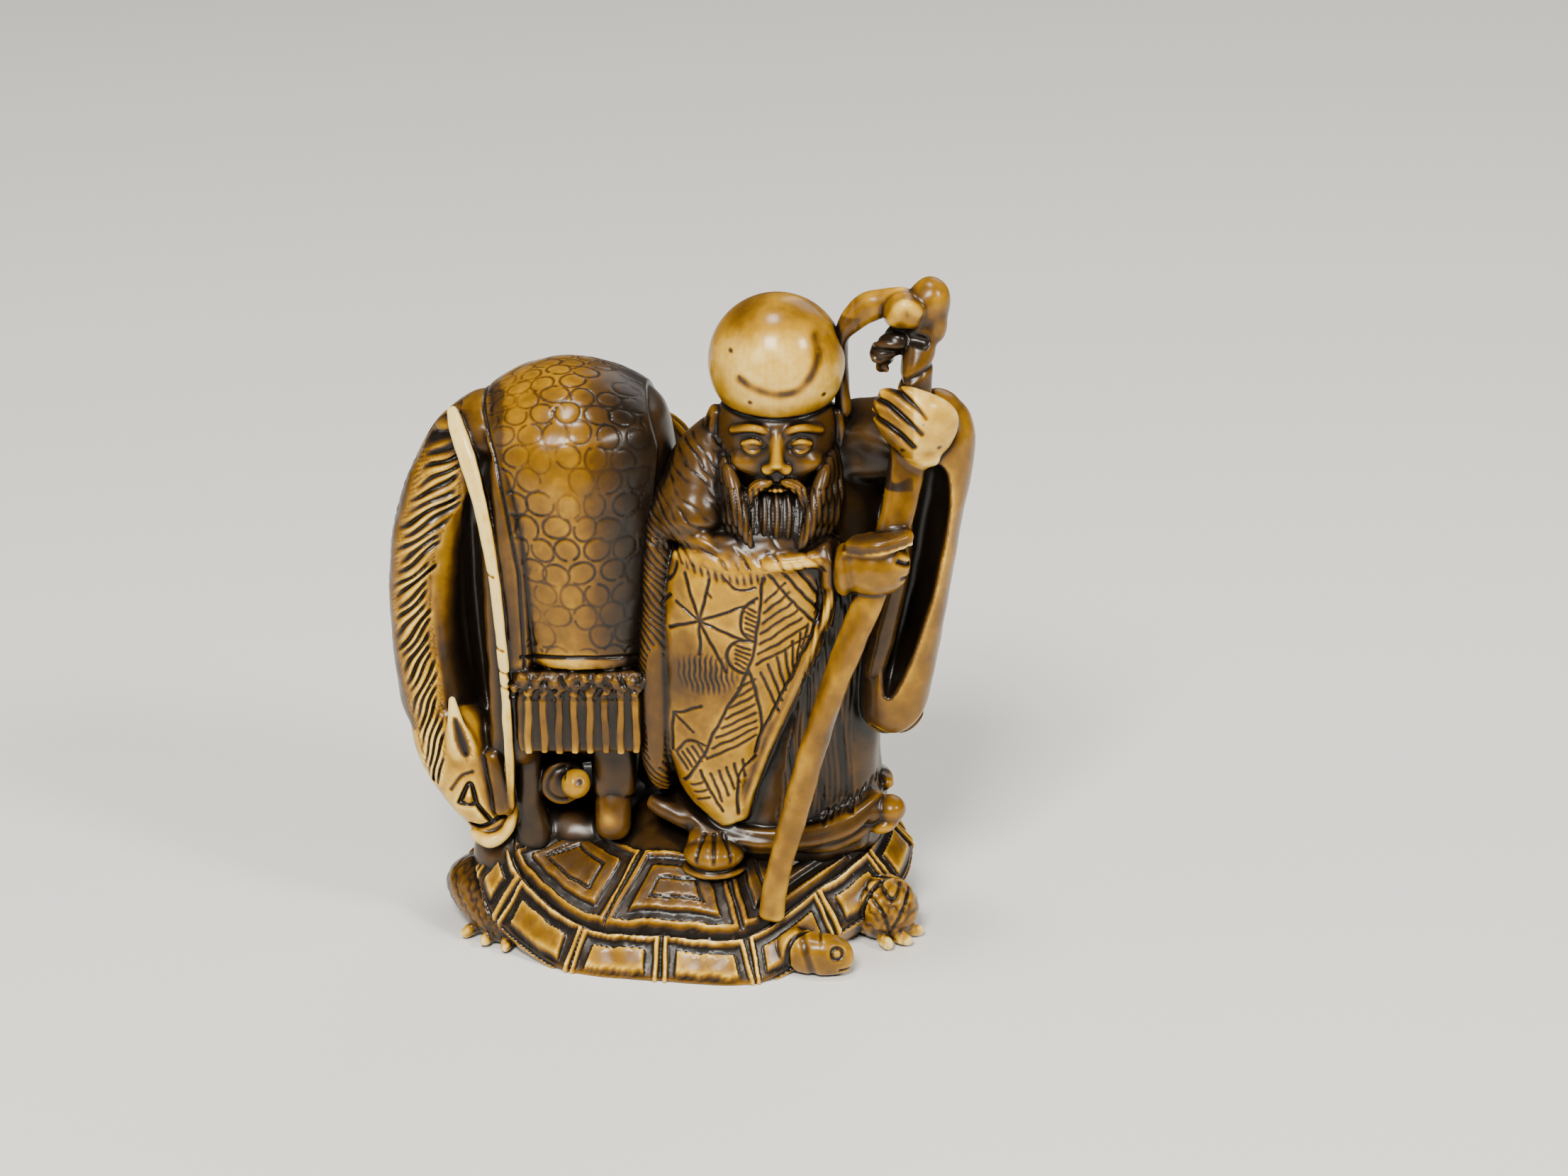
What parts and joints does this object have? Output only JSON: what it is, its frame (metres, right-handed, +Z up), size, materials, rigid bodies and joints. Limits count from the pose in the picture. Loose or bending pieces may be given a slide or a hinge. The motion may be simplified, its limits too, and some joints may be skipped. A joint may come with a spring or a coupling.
{
  "type": "netsuke",
  "caption": "Small stained ivory-like carving of a bearded sage with a staff, standing on a tortoise beside a horse that lowers its head; flat underside.",
  "frame": {"origin": "on the flat underside, below the middle of the bounding box", "axes": "+Z up, -Y towards the side that the sage and the horse's flank face, +X towards the staff"},
  "size_m": [0.041, 0.025, 0.0488],
  "materials": {
    "stained_ivory": "polished, stained dark brown in the hollows"
  },
  "bodies": {
    "root": {"netsuke": "stained_ivory"}
  },
  "joints": []
}
